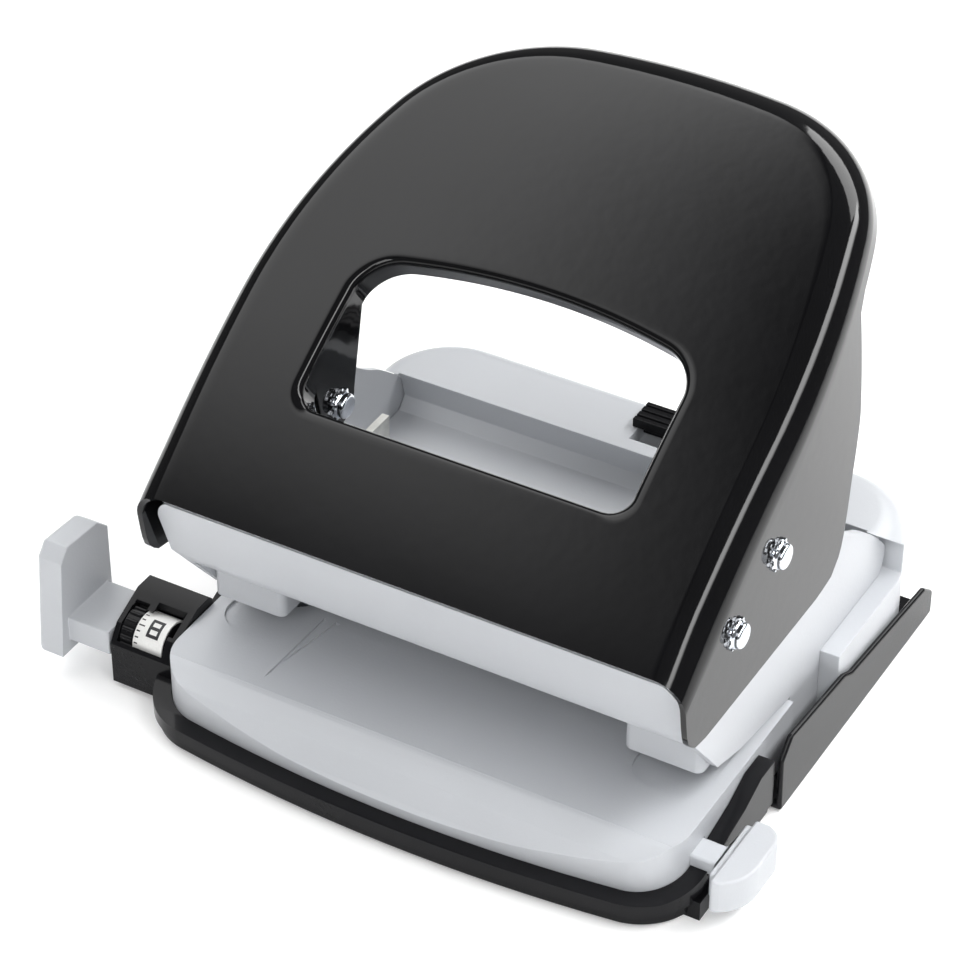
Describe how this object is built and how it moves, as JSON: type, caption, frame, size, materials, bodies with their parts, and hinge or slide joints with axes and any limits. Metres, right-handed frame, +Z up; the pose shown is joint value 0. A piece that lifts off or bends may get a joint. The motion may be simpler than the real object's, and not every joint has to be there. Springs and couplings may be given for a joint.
{
  "type": "hole punch",
  "caption": "Desk hole punch with a pressed steel lever handle, twin punches, sliding paper guide with format dial, and a slide-out chip tray.",
  "frame": {"origin": "on the table, midway between the two punches, in the plane of the drive axles", "axes": "+X across the paper slot to the right, +Y to the rear where the handle is pressed, +Z up"},
  "size_m": [0.1378, 0.1107, 0.0966],
  "materials": {
    "white_plastic": "satin",
    "black_plastic": "gloss",
    "black_lacquer": "gloss",
    "dial_print": "matt",
    "bright_steel": "polished",
    "ground_steel": "ground",
    "zinc_steel": "zinc plated",
    "black_rubber": "matt"
  },
  "bodies": {
    "base": {"front_tray": "white_plastic", "front_rim": "black_plastic", "front_pad": "black_rubber", "head_housing": "white_plastic", "paper_stop": "zinc_steel", "rear_cover": "white_plastic", "guide_block_left": "white_plastic", "guide_block_right": "white_plastic", "bracket_left": "zinc_steel", "bracket_right": "zinc_steel", "punch_bush_left": "ground_steel", "punch_bush_right": "ground_steel", "die_left": "ground_steel", "die_right": "ground_steel", "dial_housing": "black_plastic", "dial_axle": "ground_steel", "return_spring_left": "zinc_steel", "return_spring_right": "zinc_steel"},
    "handle": {"handle_shell": "black_lacquer", "drive_axle_left": "bright_steel", "drive_axle_right": "bright_steel", "pivot_pin_left": "bright_steel", "pivot_pin_right": "bright_steel", "star_rings": "bright_steel"},
    "punch_unit_left": {"punch_left": "ground_steel", "spring_collar_left": "zinc_steel"},
    "punch_unit_right": {"punch_right": "ground_steel", "spring_collar_right": "zinc_steel"},
    "guide": {"guide_bar": "white_plastic"},
    "button": {"guide_button": "white_plastic"},
    "dial": {"format_dial": "black_plastic", "dial_label": "dial_print"},
    "lock": {"lock_slider": "black_plastic"},
    "chip_drawer": {"chip_tray": "black_plastic", "rubber_feet": "black_rubber"}
  },
  "joints": [
    {"name": "handle_hinge", "type": "hinge", "parent": "base", "child": "handle", "pos_m": [0, -0.0144, 0.0501], "axis": [-1, 0, 0], "range_deg": [0, 28], "stiffness_Nm_per_rad": 0.6, "springref_deg": -20.05},
    {"name": "punch_slide_left", "type": "slide", "parent": "base", "child": "punch_unit_left", "axis": [0, 0, -1], "range_m": [0, 0.0077], "deforming": ["return_spring_left"]},
    {"name": "punch_slide_right", "type": "slide", "parent": "base", "child": "punch_unit_right", "axis": [0, 0, -1], "range_m": [0, 0.0077], "deforming": ["return_spring_right"]},
    {"name": "guide_slide", "type": "slide", "parent": "base", "child": "guide", "axis": [-1, 0, 0], "range_m": [0, 0.06]},
    {"name": "button_press", "type": "slide", "parent": "base", "child": "button", "axis": [-1, 0, 0], "range_m": [0, 0.0012], "stiffness_N_per_m": 100, "springref_m": -0.001},
    {"name": "dial_turn", "type": "hinge", "parent": "base", "child": "dial", "pos_m": [-0.056, -0.0208, 0.0096], "axis": [1, 0, 0], "continuous": true},
    {"name": "lock_slide", "type": "slide", "parent": "base", "child": "lock", "axis": [0, -1, 0], "range_m": [0, 0.005]},
    {"name": "chip_slide", "type": "slide", "parent": "base", "child": "chip_drawer", "axis": [0, 1, 0], "range_m": [0, 0.05]}
  ],
  "couplings": [
    {"joint": "punch_slide_left", "follows": "handle_hinge", "m_per_rad": 0.01535},
    {"joint": "punch_slide_right", "follows": "handle_hinge", "m_per_rad": 0.01535}
  ]
}
